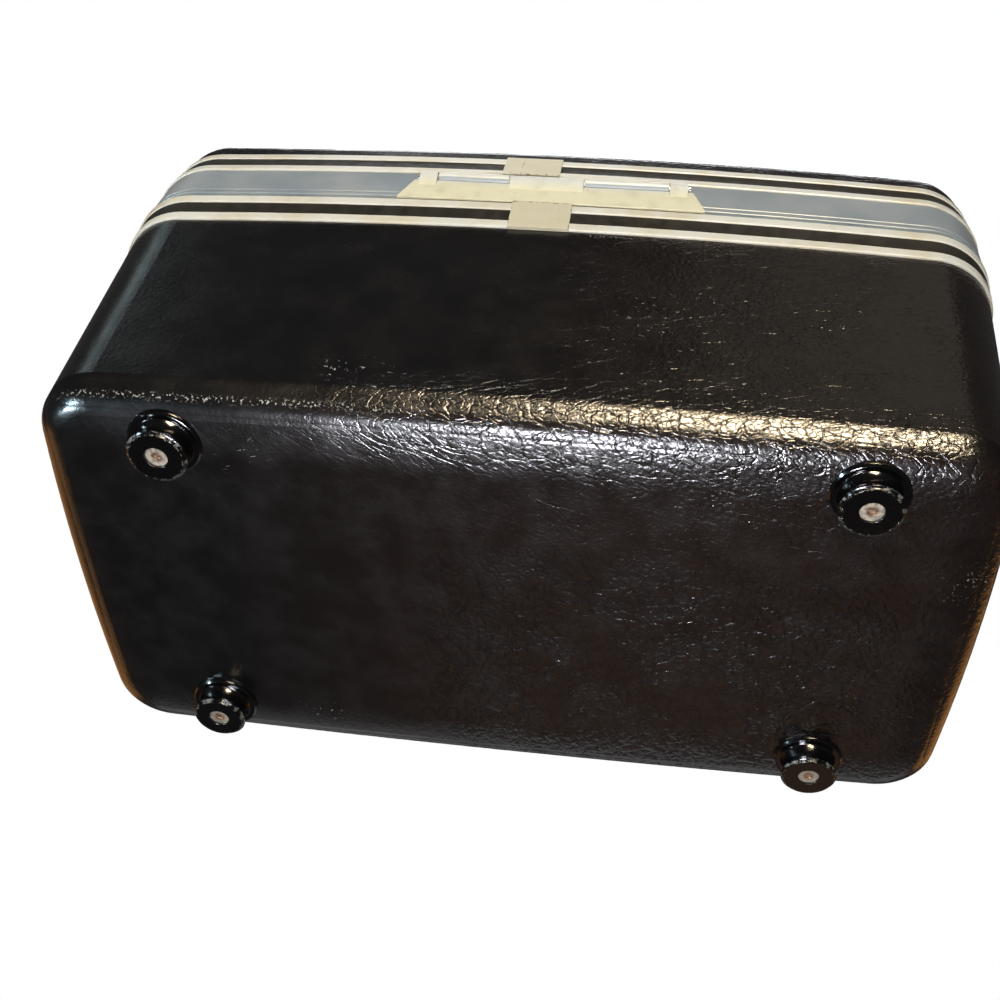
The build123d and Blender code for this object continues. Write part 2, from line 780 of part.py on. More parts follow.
# Latches. Each stands on the front of the band, with its outermost face as far from the
# middle of the case as the hinge barrel, so that the case's centre stays at Y = 0.
front_limit = hinge_axis_y + barrel_radius
inner_edge = latch_offset - latch_foot_width / 2
plate_front = half_width + band_reach - side_sag(inner_edge) + latch_front_step
plate_bottom = leaf_bottom
plate_top = parting_height - lid_gap
hasp_axis_y = plate_front + fit_gap + hasp_knuckle_radius
hasp_back = hasp_axis_y - hasp_thickness / 2
hasp_front = hasp_axis_y + hasp_thickness / 2
window_width = nib_width + 4 * moving_gap
window_height = nib_height + nib_headroom + 4 * moving_gap
bolt_tip = hasp_shift + window_width / 2 - moving_gap
stem_outer = button_shift + button_stem_width / 2
slot_width = button_stem_width + button_travel + 2 * moving_gap
spring_end = latch_top_width / 2 - latch_side_wall
band_back = wall_solid(rim_height - cut_overrun, parting_height + cut_overrun, band_reach + fit_gap)
keeper_back = wall_solid(lid_base - cut_overrun, lid_trim_top + cut_overrun, bead_crest + fit_gap)


def latch_x(side, place):
    """X of a place on a latch, counted outwards from the latch's middle."""
    return side * (latch_offset + place)


def front_plane(depth):
    """Plane that faces the front of the case at a distance from its middle."""
    return Plane.XZ.offset(depth)


for side, side_name in ((1, "right"), (-1, "left")):
    # Plate: cast trapezoid, hollowed to the band, with ears for the hasp pin
    with BuildPart() as latch_plate:
        with BuildSketch(front_plane(plate_front)) as plate_face:
            with Locations((latch_x(side, 0), (plate_bottom + plate_top) / 2)):
                Trapezoid(
                    latch_foot_width,
                    plate_top - plate_bottom,
                    90 - (latch_foot_width - latch_top_width),
                )
            fillet(plate_face.vertices(), latch_corner_radius)
        extrude(amount=-cut_overrun)
        chamfer(latch_plate.faces().sort_by(Axis.Y)[0].edges(), edge_break)
        for ear_place in (-hasp_width / 2 - moving_gap - hasp_ear_width, hasp_width / 2 + moving_gap):
            ear_start = latch_x(side, hasp_shift + ear_place + (0 if side > 0 else hasp_ear_width))
            with BuildSketch(Plane.YZ.offset(ear_start)):
                with Locations((-hasp_axis_y, hasp_axis_height)):
                    Circle(hasp_knuckle_radius)
                    Rectangle(
                        hasp_knuckle_radius * 2,
                        hasp_knuckle_radius * 2,
                        align=(Align.MIN, Align.CENTER),
                    )
            extrude(amount=hasp_ear_width)
        add(band_back, mode=Mode.SUBTRACT)
        # Bore for the hasp pin
        with BuildSketch(Plane.YZ.offset(latch_x(side, 0))):
            with Locations((-hasp_axis_y, hasp_axis_height)):
                Circle(hasp_pin_radius + running_gap)
        extrude(amount=latch_foot_width / 2, both=True, mode=Mode.SUBTRACT)
        # Window for the nib, slot for the button, groove for the bolt and the spring
        with BuildSketch(front_plane(plate_front)):
            with Locations((latch_x(side, hasp_shift), nib_center_height + nib_headroom / 2)):
                Rectangle(window_width, window_height)
            with Locations((latch_x(side, button_shift + button_travel / 2), nib_center_height)):
                Rectangle(slot_width, button_stem_height + 2 * moving_gap)
        extrude(amount=-2 * cut_overrun, mode=Mode.SUBTRACT)
        bolt_room = plate_front - latch_skin
        with BuildSketch(front_plane(bolt_room)):
            with Locations((latch_x(side, (bolt_tip + spring_end) / 2), nib_center_height)):
                Rectangle(spring_end - bolt_tip + 2 * moving_gap, bolt_height + 2 * moving_gap)
        extrude(amount=-2 * cut_overrun, mode=Mode.SUBTRACT)
    latch_plate.part.label = "latch_plate_" + side_name
    export_step(latch_plate.part, "parts/latch_plate_" + side_name + ".step")

    # Hasp: plate that swings down on its pin, with a nib at the back and a lip at the top
    with BuildPart() as hasp:
        with BuildSketch(front_plane(hasp_back)) as hasp_face:
            with Locations((latch_x(side, hasp_shift), hasp_axis_height)):
                Rectangle(
                    hasp_width,
                    hasp_top_height - hasp_axis_height,
                    align=(Align.CENTER, Align.MIN),
                )
            fillet(hasp_face.vertices().group_by(Axis.Z)[-1], hasp_corner_radius)
        extrude(amount=hasp_thickness)
        with BuildSketch(front_plane(hasp_front)):
            with Locations((latch_x(side, hasp_shift), hasp_top_height - hasp_lip_height)):
                Rectangle(
                    hasp_width - 2 * hasp_corner_radius,
                    hasp_lip_height,
                    align=(Align.CENTER, Align.MIN),
                )
        extrude(amount=front_limit - hasp_front)
        chamfer(hasp.faces().sort_by(Axis.Y)[0].edges().sort_by(Axis.Z)[0], lip_chamfer)
        with BuildSketch(front_plane(hasp_back)):
            with Locations((latch_x(side, hasp_shift), nib_center_height)):
                Rectangle(nib_width, nib_height)
        extrude(amount=-(hasp_back - plate_front + latch_skin))
        with BuildSketch(Plane.YZ.offset(latch_x(side, hasp_shift) - hasp_width / 2)):
            with Locations((-hasp_axis_y, hasp_axis_height)):
                Circle(hasp_knuckle_radius)
        extrude(amount=hasp_width)
        with BuildSketch(Plane.YZ.offset(latch_x(side, hasp_shift) - hasp_width / 2)):
            with Locations((-hasp_axis_y, hasp_axis_height)):
                Circle(hasp_pin_radius + running_gap)
        extrude(amount=hasp_width, mode=Mode.SUBTRACT)
    hasp.part.label = "hasp_" + side_name
    export_step(hasp.part, "parts/hasp_" + side_name + ".step")

    # Hasp pin through the plate's ears
    pin_length = hasp_width + 2 * (moving_gap + hasp_ear_width)
    with BuildPart() as hasp_pin:
        with BuildSketch(Plane.YZ.offset(latch_x(side, hasp_shift) - pin_length / 2)):
            with Locations((-hasp_axis_y, hasp_axis_height)):
                Circle(hasp_pin_radius)
        extrude(amount=pin_length)
    hasp_pin.part.label = "hasp_pin_" + side_name
    export_step(hasp_pin.part, "parts/hasp_pin_" + side_name + ".step")

    # Button: ribbed cap outside the plate, stem through the slot, bolt behind the plate
    bolt_front = bolt_room - fit_gap
    with BuildPart() as button:
        with BuildSketch(front_plane(plate_front + fit_gap)) as cap_face:
            with Locations((latch_x(side, button_shift), nib_center_height)):
                RectangleRounded(button_width, button_height, button_corner_radius)
        extrude(amount=button_thickness)
        chamfer(button.faces().sort_by(Axis.Y)[0].edges(), edge_break)
        with BuildSketch(front_plane(plate_front + fit_gap + button_thickness)):
            with Locations((latch_x(side, button_shift), nib_center_height)):
                with GridLocations(button_width / (button_grip_count + 1), 0, button_grip_count, 1):
                    Rectangle(2 * edge_break, button_height - 4 * edge_break)
        extrude(amount=-edge_break, mode=Mode.SUBTRACT)
        with BuildSketch(front_plane(plate_front + fit_gap)):
            with Locations((latch_x(side, button_shift), nib_center_height)):
                Rectangle(button_stem_width, button_stem_height)
        extrude(amount=-(plate_front + fit_gap - bolt_front + bolt_thickness))
        with BuildSketch(front_plane(bolt_front)):
            with Locations((latch_x(side, (bolt_tip + stem_outer) / 2), nib_center_height)):
                Rectangle(stem_outer - bolt_tip, bolt_height)
        extrude(amount=-bolt_thickness)
    button.part.label = "latch_button_" + side_name
    export_step(button.part, "parts/latch_button_" + side_name + ".step")

    # Spring: corrugated strip between the stem and the outer end of the groove
    spring_start = stem_outer + running_gap
    spring_pitch = (spring_end - spring_start) / spring_waves
    wave_points = [
        (
            latch_x(side, spring_start + step * spring_pitch / 2),
            -(bolt_front - spring_strip - (step % 2) * spring_wave_depth),
        )
        for step in range(2 * spring_waves + 1)
    ]
    back_points = [(wave_x, wave_y - spring_strip) for wave_x, wave_y in reversed(wave_points)]
    with BuildPart() as latch_spring:
        with BuildSketch(Plane.XY.offset(nib_center_height - bolt_height / 2)):
            with BuildLine():
                Polyline(*wave_points, *back_points, close=True)
            make_face()
        extrude(amount=bolt_height)
    latch_spring.part.label = "latch_spring_" + side_name
    export_step(latch_spring.part, "parts/latch_spring_" + side_name + ".step")

    # Two rivets hold the plate to the frame
    plate_rivet_places = [latch_x(side, place) for place in (-latch_rivet_spacing / 2, latch_rivet_spacing / 2)]
    plate_rivet_sag = side_sag(latch_offset + latch_rivet_spacing / 2 + hinge_rivet_head_radius)
    plate_rivets = rivet_row(
        -(half_width + frame_inner_reach - plate_rivet_sag - running_gap),
        -(half_width + band_reach - plate_rivet_sag),
        latch_rivet_height,
        plate_rivet_places,
    )
    plate_rivets.label = "latch_rivets_" + side_name
    export_step(plate_rivets, "parts/latch_rivets_" + side_name + ".step")

    # Keeper: plate on the lid trim, leaning with it, that the hasp covers
    keeper_bottom = lid_base + edge_break
    keeper_top = lid_trim_top - edge_break
    keeper_front = hasp_back - moving_gap - fit_gap
    keeper_lean = wall_reach(keeper_bottom) - wall_reach(keeper_top)
    with BuildPart() as keeper:
        with BuildSketch(Plane.YZ.offset(latch_x(side, hasp_shift) - keeper_width / 2)):
            with BuildLine():
                Polyline(
                    (-keeper_front, keeper_bottom),
                    (-keeper_front + keeper_lean, keeper_top),
                    (-half_width + cut_overrun, keeper_top),
                    (-half_width + cut_overrun, keeper_bottom),
                    close=True,
                )
            make_face()
        extrude(amount=keeper_width)
        fillet(keeper.edges().filter_by(Axis.Y).group_by(Axis.Z)[-1], keeper_corner_radius)
        add(keeper_back, mode=Mode.SUBTRACT)
    keeper.part.label = "latch_keeper_" + side_name
    export_step(keeper.part, "parts/latch_keeper_" + side_name + ".step")

# Handle: a grip on two links that swing between the ears of two brackets on the lid
handle_axis_z = case_height + handle_axis_rise
bracket_top = case_height + fit_gap + bracket_base
ear_inner = eye_width / 2 + moving_gap
ear_outer = ear_inner + bracket_ear_thickness
for side, side_name in ((1, "right"), (-1, "left")):
    eye_x = side * handle_span / 2
    # Bracket: base plate with two ears
    with BuildPart() as bracket:
        with BuildSketch(Plane.XY.offset(case_height + fit_gap)):
            with Locations((eye_x, 0)):
                RectangleRounded(bracket_width, bracket_depth, bracket_corner_radius)
        extrude(amount=bracket_base)
        chamfer(bracket.faces().sort_by(Axis.Z)[-1].edges(), 2 * edge_break)
        for ear_start in (-ear_outer, ear_inner):
            with BuildSketch(Plane.YZ.offset(eye_x + ear_start)):
                with Locations((0, handle_axis_z)):
                    Circle(bracket_ear_radius)
                    Rectangle(
                        2 * bracket_ear_radius,
                        handle_axis_z - bracket_top + bracket_base / 2,
                        align=(Align.CENTER, Align.MAX),
                    )
            extrude(amount=bracket_ear_thickness)
        with BuildSketch(Plane.YZ.offset(eye_x - ear_outer)):
            with Locations((0, handle_axis_z)):
                Circle(handle_pin_radius + running_gap)
        extrude(amount=2 * ear_outer, mode=Mode.SUBTRACT)
        with BuildSketch(Plane.XY.offset(case_height)):
            with Locations((eye_x, 0)):
                with GridLocations(0, screw_pitch, 1, 2):
                    Circle(screw_radius + running_gap)
        extrude(amount=2 * bracket_base, mode=Mode.SUBTRACT)
    bracket.part.label = "handle_bracket_" + side_name
    export_step(bracket.part, "parts/handle_bracket_" + side_name + ".step")

    # Pin with a flat head on both sides
    with BuildPart() as handle_pin:
        with BuildSketch(Plane.YZ.offset(eye_x - ear_outer - fit_gap)):
            with Locations((0, handle_axis_z)):
                Circle(handle_pin_radius)
        extrude(amount=2 * (ear_outer + fit_gap))
        for head_x in (-ear_outer - fit_gap - pin_head_thickness, ear_outer + fit_gap):
            with BuildSketch(Plane.YZ.offset(eye_x + head_x)):
                with Locations((0, handle_axis_z)):
                    Circle(handle_pin_radius + pin_head_thickness)
            extrude(amount=pin_head_thickness)
    handle_pin.part.label = "handle_pin_" + side_name
    export_step(handle_pin.part, "parts/handle_pin_" + side_name + ".step")

    # Link: eye round the pin, with a tail held in the end of the grip
    with BuildPart() as handle_link:
        with BuildSketch(Plane.YZ.offset(eye_x - eye_width / 2)):
            with Locations((0, handle_axis_z)):
                Circle(eye_radius)
                Rectangle(
                    grip_start + link_insert,
                    2 * link_half_height,
                    align=(Align.MAX, Align.CENTER),
                )
        extrude(amount=eye_width)
        with BuildSketch(Plane.YZ.offset(eye_x - eye_width / 2)):
            with Locations((0, handle_axis_z)):
                Circle(handle_pin_radius + running_gap)
        extrude(amount=eye_width, mode=Mode.SUBTRACT)
    handle_link.part.label = "handle_link_" + side_name
    export_step(handle_link.part, "parts/handle_link_" + side_name + ".step")

# Grip: padded bar bent to a wide U, lying towards the front at rest
grip_x = handle_span / 2
with BuildPart() as handle_grip:
    with BuildLine(Plane.XY.offset(handle_axis_z)) as grip_path:
        FilletPolyline(
            (-grip_x, -grip_start),
            (-grip_x, -handle_reach),
            (grip_x, -handle_reach),
            (grip_x, -grip_start),
            radius=handle_bend_radius,
        )
    grip_end = Plane(origin=(-grip_x, -grip_start, handle_axis_z), x_dir=(1, 0, 0), z_dir=(0, -1, 0))
    with BuildSketch(grip_end):
        RectangleRounded(2 * grip_half_width, 2 * grip_half_height, grip_corner_radius)
    sweep(path=grip_path.wires()[0])
    fillet(handle_grip.faces().sort_by(Axis.Y)[-2:].edges(), grip_end_radius)
    for eye_x in (-grip_x, grip_x):
        with Locations((eye_x, -grip_start, handle_axis_z)):
            Box(
                eye_width + 2 * fit_gap,
                link_insert + fit_gap,
                2 * (link_half_height + fit_gap),
                align=(Align.CENTER, Align.MAX, Align.CENTER),
                mode=Mode.SUBTRACT,
            )
handle_grip.part.label = "handle_grip"
export_step(handle_grip.part, "parts/handle_grip.step")

# Screws and nuts that hold the brackets to the lid shell
nut_bottom = case_height - shell_wall - fit_gap - nut_height
with BuildPart() as handle_screws:
    with BuildSketch(Plane.XY.offset(bracket_top + running_gap)):
        with Locations(*bracket_places):
            with GridLocations(0, screw_pitch, 1, 2):
                Circle(screw_head_radius)
    extrude(amount=screw_head_height)
    fillet(handle_screws.faces().group_by(Axis.Z)[-1].edges(), screw_head_height / 2)
    with BuildSketch(Plane.XY.offset(nut_bottom)):
        with Locations(*bracket_places):
            with GridLocations(0, screw_pitch, 1, 2):
                Circle(screw_radius)
    extrude(amount=bracket_top + screw_head_height / 2 - nut_bottom)
handle_screws.part.label = "handle_screws"
export_step(handle_screws.part, "parts/handle_screws.step")

with BuildPart() as handle_nuts:
    with BuildSketch(Plane.XY.offset(nut_bottom)):
        with Locations(*bracket_places):
            with GridLocations(0, screw_pitch, 1, 2):
                RegularPolygon(nut_radius, 6)
                Circle(screw_radius + running_gap, mode=Mode.SUBTRACT)
    extrude(amount=nut_height)
handle_nuts.part.label = "handle_nuts"
export_step(handle_nuts.part, "parts/handle_nuts.step")
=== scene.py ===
"""Looks of the hard-shell train case: finishes, worn details, light, floor and camera."""

import json
import math

import bpy
from mathutils import Matrix, Quaternion, Vector

MM = 0.001
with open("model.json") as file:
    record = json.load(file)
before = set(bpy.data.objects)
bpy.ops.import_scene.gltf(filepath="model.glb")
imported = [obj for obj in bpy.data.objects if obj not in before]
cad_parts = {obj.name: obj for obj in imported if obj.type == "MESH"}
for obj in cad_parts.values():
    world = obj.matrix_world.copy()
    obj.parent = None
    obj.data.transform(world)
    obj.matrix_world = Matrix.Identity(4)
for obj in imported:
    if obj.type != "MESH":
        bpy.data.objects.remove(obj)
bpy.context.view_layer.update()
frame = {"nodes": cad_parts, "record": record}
scene = bpy.context.scene


def srgb(red, green, blue):
    """Linear colour, with alpha, of an sRGB colour given from 0 to 255."""
    parts = [channel / 255 for channel in (red, green, blue)]
    linear = [p / 12.92 if p <= 0.04045 else ((p + 0.055) / 1.055) ** 2.4 for p in parts]
    return (*linear, 1.0)


# Places on the case at rest, in mm. X is to the right of who faces the latches, which is to
# the left in the photo, Y is to the rear, where the hinge is, and Z is up from the floor.
FOOT_X = 118.0  # axes of the four feet, to either side of the middle
FOOT_Y = 67.2
FOOT_RIM_Z = 1.0  # the feet are scuffed up to here
FOOT_RIM_RADIUS = 8.7
TUB_TRIM_Z = 120.6  # lower edge of the tub's trim
LOWER_EDGE_Z = 12.8  # dotted rubs along the rounded edge between floor and rear wall
TUB_CLIP_BEND_Z = 140.6
LID_CLIP_BEND_Z = 165.7
TUB_CLIP_END_X = 14.3
LID_CLIP_END_X = -9.6
KNUCKLE_SHADE_Z = 156.9  # the knuckles' rounds carry painted grey shade below this

# Stretches along an axis, in mm: the axis, where a mask starts, where it is full, and
# for some the values that it starts and ends with
WORN_HALF = (("X", 40, -60),)
REAR_LOWER_EDGE = (("Y", 56, 80), ("Z", 44, 16), ("X", 90, 10))
CREASED_FLOOR = (("X", 50, -20), ("X", -165, -110), ("Y", 45, -5), ("Z", 60, 11, 0.4, 1.0))
# where the tub's floor gets a painted warm sheen in its colour
SHEEN_FLOOR = (("X", 130, 20), ("Z", 15, 10))
TOWARDS_REAR = ("Y", 15, 62, 0.22, 0.6)
LOWER_EDGE_RUBS = (("Y", 78, 84), ("X", 25, 45))
REAR_WALL = (("Y", 80, 85),)

# Rubbed places on the tub, in mm: the centre, and how far the rub is full and reaches
SCUFFS = [
    ((61, 88, 30), 1, 9),
    ((-76, 63, 9.5), 2, 9),
    ((-160, 30, 11), 3, 16),
    ((76, -68, 9.5), 2, 13),
]
STREAKS = [
    ((92, 64, 9.5), 2, 13),
    ((-45, 90, 66), 5, 28),
    ((50, 88, 24), 4, 18),
]


class Finish:
    """A node material, built up from small procedural layers in object space, in mm."""

    def __init__(self, name, **constants):
        self.material = bpy.data.materials.new(name)
        self.material.use_nodes = True
        self.tree = self.material.node_tree
        self.shader = self.tree.nodes["Principled BSDF"]
        for socket, value in constants.items():
            self.shader.inputs[socket.replace("_", " ")].default_value = value
        coords = self.add("TexCoord").outputs["Object"]
        self.mm = self.vector("SCALE", coords, 1 / MM)
        self.normal = None

    def add(self, kind, inputs=None, **settings):
        """A node, with its settings, and its inputs linked or set."""
        made = self.tree.nodes.new("ShaderNode" + kind)
        for name, value in settings.items():
            setattr(made, name, value)
        for name, value in (inputs or {}).items():
            if isinstance(value, bpy.types.NodeSocket):
                self.tree.links.new(value, made.inputs[name])
            else:
                made.inputs[name].default_value = value
        return made

    def vector(self, operation, a, b):
        """Vector maths; b is a vector, or the number that SCALE multiplies by."""
        second = 3 if operation == "SCALE" else 1
        return self.add("VectorMath", {0: a, second: b}, operation=operation).outputs[0]

    def math(self, operation, a, b=0.0):
        """Scalar maths."""
        return self.add("Math", {0: a, 1: b}, operation=operation).outputs[0]

    def stretched(self, x=1.0, y=1.0, z=1.0, turn=(0, 0, 0)):
        """Coordinates turned by degrees, then scaled along each turned axis."""
        turned = [math.radians(angle) for angle in turn]
        made = self.add("Mapping", {"Vector": self.mm, "Rotation": turned})
        return self.vector("MULTIPLY", made.outputs[0], (x, y, z))

    def noise(self, size, coords=None, detail=3.0, rough=0.55):
        """Noise with features of about the given size in mm."""
        inputs = {"Vector": coords or self.mm, "Scale": 1 / size}
        inputs.update({"Detail": detail, "Roughness": rough})
        return self.add("TexNoise", inputs).outputs["Fac"]

    def warped(self, size, amount, coords=None):
        """Coordinates pushed about by noise of a size, by up to an amount, in mm."""
        base = coords or self.mm
        push = self.add("TexNoise", {"Vector": base, "Scale": 1 / size, "Detail": 2.0})
        centred = self.vector("SUBTRACT", push.outputs["Color"], (0.5, 0.5, 0.5))
        return self.vector("ADD", base, self.vector("SCALE", centred, 2 * amount))

    def cells(self, size, coords):
        """Cell pattern: distance to the nearest crease, in cells."""
        inputs = {"Vector": coords, "Scale": 1 / size}
        made = self.add("TexVoronoi", inputs, feature="DISTANCE_TO_EDGE")
        return made.outputs["Distance"]

    def span(self, value, low, high, out_low=0.0, out_high=1.0):
        """Smooth step of a value from one range to another."""
        inputs = {"Value": value, "From Min": low, "From Max": high}
        inputs.update({"To Min": out_low, "To Max": out_high})
        return self.add("MapRange", inputs, interpolation_type="SMOOTHSTEP").outputs["Result"]

    def axis(self, letter):
        """One coordinate, in mm."""
        return self.add("SeparateXYZ", {0: self.mm}).outputs[letter]

    def along(self, letter, *stretch):
        """Smooth step along one axis, over a stretch in mm."""
        return self.span(self.axis(letter), *stretch)

    def zone(self, stretches):
        """1 where every one of several stretches is full."""
        return self.all_of(*(self.along(*stretch) for stretch in stretches))

    def near(self, letter, place, reach):
        """1 at a place along an axis, falling to 0 at a reach from it."""
        away = self.math("ABSOLUTE", self.math("SUBTRACT", self.axis(letter), place))
        return self.span(away, 0.0, reach, 1.0, 0.0)

    def spot(self, place, core, reach):
        """1 within core mm of a place, falling to 0 at reach mm from it."""
        away = self.add("VectorMath", {0: self.mm, 1: place}, operation="DISTANCE")
        return self.span(away.outputs["Value"], core, reach, 1.0, 0.0)

    def padded_edge(self):
        """0 over the flat of the tub's floor, 1 where its rounded edge starts: a soft shoulder."""
        sides = []
        for letter, start, end in (("X", 143, 161), ("Y", 60, 79)):
            away = self.math("ABSOLUTE", self.axis(letter))
            inputs = {"Value": away, "From Min": start, "From Max": end}
            ramp = self.add("MapRange", inputs, clamp=True).outputs["Result"]
            sides.append(self.math("MULTIPLY", ramp, ramp))
        return self.math("MULTIPLY", self.math("ADD", *sides), self.along("Z", 22, 15))

    def foot_radius(self):
        """Distance from the axis of the nearest foot, in mm."""
        along = self.math("SUBTRACT", self.math("ABSOLUTE", self.axis("X")), FOOT_X)
        across = self.math("SUBTRACT", self.math("ABSOLUTE", self.axis("Y")), FOOT_Y)
        flat = self.add("CombineXYZ", {0: along, 1: across})
        return self.add("VectorMath", {0: flat.outputs[0]}, operation="LENGTH").outputs["Value"]

    def all_of(self, *masks):
        """Product of masks."""
        product = masks[0]
        for mask in masks[1:]:
            product = self.math("MULTIPLY", product, mask)
        return product

    def any_of(self, *masks):
        """The strongest of masks."""
        strongest = masks[0]
        for mask in masks[1:]:
            strongest = self.math("MAXIMUM", strongest, mask)
        return strongest

    def blend(self, factor, a, b):
        """Colour mix."""
        return self.add("Mix", {0: factor, 6: a, 7: b}, data_type="RGBA").outputs[2]

    def soft_edges(self, radius):
        """Shades the sharp edges as if rounded by a radius, in mm."""
        self.normal = self.add("Bevel", {"Radius": radius * MM}).outputs["Normal"]

    def relief(self, height, depth):
        """Adds a bump layer whose full height is depth, in mm."""
        inputs = {"Height": height, "Distance": depth * MM, "Strength": 1.0}
        if self.normal is not None:
            inputs["Normal"] = self.normal
        self.normal = self.add("Bump", inputs).outputs["Normal"]

    def done(self, color=None, roughness=None):
        """Links what was built to the shader and returns the material."""
        if color is not None:
            self.tree.links.new(color, self.shader.inputs["Base Color"])
        if roughness is not None:
            self.tree.links.new(roughness, self.shader.inputs["Roughness"])
        if self.normal is not None:
            self.tree.links.new(self.normal, self.shader.inputs["Normal"])
        return self.material


def hide_wear(skin):
    """Mask of the tub's rubs: dotted lines along edges, scuffs by the feet and streaks."""
    specks = skin.span(skin.noise(1.5, detail=4.0, rough=0.7), 0.62, 0.66)
    grain = skin.stretched(0.12, 1, 1, turn=(0, 8, 12))
    streak = skin.span(skin.noise(0.8, grain, detail=2.0), 0.68, 0.73)
    dots = skin.span(skin.noise(1.0, detail=3.0, rough=0.6), 0.575, 0.62)
    edge_line = skin.near("Z", LOWER_EDGE_Z, reach=1.6)
    trim_line = skin.all_of(skin.near("Z", TUB_TRIM_Z, reach=0.8), skin.near("X", -24, reach=18))
    rubs = [
        skin.all_of(edge_line, skin.zone(LOWER_EDGE_RUBS), dots),
        skin.all_of(trim_line, skin.zone(REAR_WALL), dots),
    ]
    for spots, pattern in ((SCUFFS, specks), (STREAKS, streak)):
        rubs += [skin.math("MULTIPLY", skin.spot(*rub), pattern) for rub in spots]
    return skin.any_of(*rubs)


def hide_finish(name, wrinkle=1.0, scuffed=True):
    """Glossy black leather-grain covering: pillowed cells, long wrinkles, pores and scuffs."""
    skin = Finish(name, Specular_IOR_Level=0.5)
    worn_half = skin.zone(WORN_HALF)

    # Patterns: swells and creases that run along the hide's flow, round cells and folds
    flow = skin.stretched(0.34, 1.0, 1.0, turn=(0, -20, -32))
    bent = skin.warped(9, 3.4, flow)
    swell = skin.noise(3.4, bent, detail=2.0)
    long_crease = skin.span(skin.cells(5.2, bent), 0.0, 0.07, 1.0, 0.0)
    fine_crease = skin.span(skin.cells(2.1, skin.warped(4, 1.4, flow)), 0.0, 0.1, 1.0, 0.0)
    cell = skin.span(skin.cells(3.2, skin.warped(6.0, 2.2)), 0.0, 0.4)
    small_cell = skin.span(skin.cells(1.5, skin.warped(3.0, 1.0)), 0.0, 0.4)
    crumpled = skin.warped(4.0, 2.2, skin.warped(17, 7.0))
    fold = skin.span(skin.cells(5.8, crumpled), 0.0, 0.26)

    # Where the hide is wrinkled: along the lower rear edge, in patches, and under the floor
    patches = skin.span(skin.noise(34, detail=2.0), 0.36, 0.6)
    flat_mask = skin.all_of(worn_half, patches, skin.along(*TOWARDS_REAR))
    flow_mask = skin.any_of(flat_mask, skin.zone(REAR_LOWER_EDGE))
    crease_mask = skin.math("ADD", flow_mask, 0.1)
    loose = skin.span(skin.noise(26, detail=2.0), 0.3, 0.55, 0.25, 1.0)
    fold_mask = skin.math("MULTIPLY", skin.zone(CREASED_FLOOR), loose)
    fold_mask = skin.math("ADD", fold_mask, 0.05)
    cell_mask = skin.math("ADD", worn_half, 0.3)

    skin.relief(skin.padded_edge(), depth=-1.9)
    skin.relief(skin.noise(17, detail=1.0), depth=0.12 * wrinkle)
    skin.relief(skin.math("MULTIPLY", swell, flow_mask), depth=0.16 * wrinkle)
    skin.relief(skin.math("MULTIPLY", fold, fold_mask), depth=0.12 * wrinkle)
    skin.relief(skin.math("MULTIPLY", cell, fold_mask), depth=0.06 * wrinkle)
    skin.relief(skin.math("MULTIPLY", long_crease, crease_mask), depth=-0.1 * wrinkle)
    skin.relief(skin.math("MULTIPLY", fine_crease, crease_mask), depth=-0.05 * wrinkle)
    skin.relief(skin.math("MULTIPLY", cell, cell_mask), depth=0.05 * wrinkle)
    skin.relief(small_cell, depth=0.014 * wrinkle)
    skin.relief(skin.noise(0.5, detail=1.0), depth=0.002)

    # Black, browner in the worn half; under the floor a painted warm sheen, with painted shade in
    # its creases
    color = skin.blend(skin.noise(60, detail=2.0), srgb(7, 8, 10), srgb(11, 10, 11))
    color = skin.blend(worn_half, color, srgb(14, 10, 8))
    # Painted sheen: brown base colour on the floor stands in for a warm reflection
    brown = skin.all_of(skin.zone(SHEEN_FLOOR), 0.9)
    color = skin.blend(brown, color, srgb(36, 23, 17))
    faint_crease = skin.math("MULTIPLY", fine_crease, 0.6)
    # Painted shade: the creases of the brown floor are darkened to near black
    crease_shade = skin.any_of(long_crease, faint_crease, skin.span(fold, 0.5, 0.0))
    crease_shade = skin.all_of(crease_shade, brown, skin.span(fold_mask, 0.05, 0.4, 0.4, 1.0))
    color = skin.blend(crease_shade, color, srgb(2, 2, 2))
    roughness = skin.span(skin.noise(14, detail=3.0), 0.3, 0.7, 0.21, 0.28)
    if scuffed:
        worn = hide_wear(skin)
        color = skin.blend(skin.math("MULTIPLY", worn, 0.85), color, srgb(186, 180, 168))
        roughness = skin.any_of(roughness, skin.math("MULTIPLY", worn, 0.6))
    return skin.done(color, roughness)


def trim_finish():
    """Cream moulded trim, yellowed in clouds, with fine grime."""
    trim = Finish("trim_cream", Specular_IOR_Level=0.45)
    trim.soft_edges(radius=0.5)
    stain = trim.span(trim.noise(22, detail=4.0), 0.4, 0.72)
    color = trim.blend(stain, srgb(232, 226, 208), srgb(219, 206, 174))
    grime = trim.span(trim.noise(1.6, detail=4.0, rough=0.7), 0.62, 0.78)
    color = trim.blend(trim.math("MULTIPLY", grime, 0.45), color, srgb(150, 134, 104))
    trim.relief(trim.noise(2.4, detail=2.0), depth=0.05)
    return trim.done(color, trim.span(trim.noise(9), 0.3, 0.7, 0.3, 0.46))


def stripe_finish():
    """Brown-black insert with the faint grain of the covering."""
    stripe = Finish("stripe_dark", Specular_IOR_Level=0.35)
    color = stripe.blend(stripe.noise(14, detail=4.0), srgb(15, 14, 11), srgb(25, 23, 18))
    stripe.relief(stripe.cells(1.4, stripe.warped(3.0, 0.9)), depth=0.08)
    return stripe.done(color, stripe.span(stripe.noise(6), 0.3, 0.7, 0.42, 0.6))


